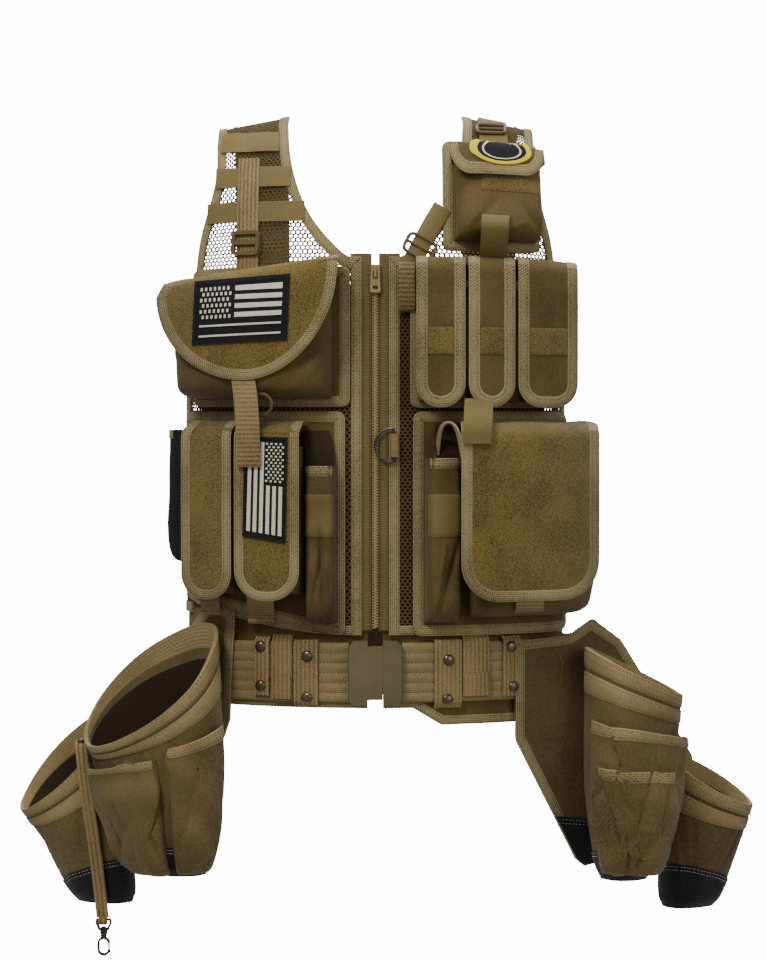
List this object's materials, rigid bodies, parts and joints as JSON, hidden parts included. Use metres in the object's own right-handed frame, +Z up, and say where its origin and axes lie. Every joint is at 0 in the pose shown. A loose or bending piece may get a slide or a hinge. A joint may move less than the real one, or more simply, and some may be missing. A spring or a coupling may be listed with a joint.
{
  "type": "utility work vest",
  "caption": "Work vest of net and tan cloth with pouches under flaps, a zip, a padded belt with a buckle, and hanging tool bags.",
  "frame": {"origin": "between the shoulders, level with their tops, where the vest hangs on its wearer", "axes": "+Z up, the wearer faces -Y, +X to the right of someone who looks at the front"},
  "size_m": [0.7874, 0.3153, 0.8887],
  "materials": {
    "net_cloth": "open warp-knit net of polyester, brown",
    "coyote_cloth": "plain-woven coated nylon, matt, tan-brown",
    "loop_pile": "fuzzy loop pile with bound edges",
    "webbing": "ribbed nylon webbing",
    "belt_web": "padded webbing sewn in rows",
    "bag_cloth": "heavy coated nylon with black reinforced feet",
    "side_cloth": "nylon with a dark bound edge",
    "zip_tape": "woven zip tape",
    "zip_metal": "moulded brown chain, painted slider",
    "slide_plastic": "moulded acetal, fine grain",
    "buckle_plastic": "moulded acetal, olive",
    "dark_metal": "gunmetal plated"
  },
  "bodies": {
    "vest": {"front_panel_left": "net_cloth", "front_panel_right": "net_cloth", "back_panel": "net_cloth", "chest_base_left": "coyote_cloth", "chest_pouch_left": "coyote_cloth", "belly_base_left": "coyote_cloth", "long_pouch_1": "coyote_cloth", "long_pouch_2": "coyote_cloth", "tool_pocket_left": "coyote_cloth", "radio_base": "coyote_cloth", "radio_pouch": "coyote_cloth", "radio_flap": "coyote_cloth", "chest_base_right": "coyote_cloth", "cell_pouch_1": "coyote_cloth", "cell_pouch_2": "coyote_cloth", "cell_pouch_3": "coyote_cloth", "cell_flap_1": "coyote_cloth", "cell_flap_2": "coyote_cloth", "cell_flap_3": "coyote_cloth", "belly_base_right": "coyote_cloth", "large_pouch": "coyote_cloth", "tool_pocket_right": "coyote_cloth", "chest_flap_left": "loop_pile", "long_flap_1": "loop_pile", "long_flap_2": "loop_pile", "large_flap": "loop_pile", "back_strap_left": "webbing", "back_strap_right": "webbing", "shoulder_band_1": "webbing", "shoulder_band_2": "webbing", "shoulder_band_3": "webbing", "shoulder_strap": "webbing", "d_ring_tab": "webbing", "lanyard": "webbing", "belt": "belt_web", "belt_pad": "belt_web", "bag_a": "bag_cloth", "bag_b": "bag_cloth", "bag_c": "bag_cloth", "bag_d": "bag_cloth", "pocket_a1": "bag_cloth", "pocket_a2": "bag_cloth", "pocket_c1": "bag_cloth", "pocket_c2": "bag_cloth", "plate_left": "bag_cloth", "plate_right": "bag_cloth", "side_pouch_left": "side_cloth", "side_pouch_right": "side_cloth", "zip_tape_left": "zip_tape", "zip_tape_right": "zip_tape", "zip_chain": "zip_metal", "zip_slider": "zip_metal", "shoulder_buckle": "slide_plastic", "buckle_socket": "buckle_plastic", "buckle_plug": "buckle_plastic", "d_ring": "dark_metal", "hook_eye": "dark_metal"},
    "zip_pull": {"zip_pull": "zip_metal"},
    "hook": {"hook_body": "dark_metal"},
    "gate": {"hook_gate": "dark_metal"}
  },
  "joints": [
    {"name": "zip_pull_hinge", "type": "hinge", "parent": "vest", "child": "zip_pull", "pos_m": [0, -0.13516, -0.17], "axis": [1, 0, 0], "range_deg": [-150, 0]},
    {"name": "hook_swivel", "type": "hinge", "parent": "vest", "child": "hook", "pos_m": [-0.2855, -0.09656, -0.86758], "axis": [0, 0, 1], "continuous": true},
    {"name": "gate_hinge", "type": "hinge", "parent": "hook", "child": "gate", "pos_m": [-0.28, -0.09656, -0.88278], "axis": [0, 1, 0], "range_deg": [-24, 0], "stiffness_Nm_per_rad": 0.002, "springref_deg": 2.86}
  ]
}
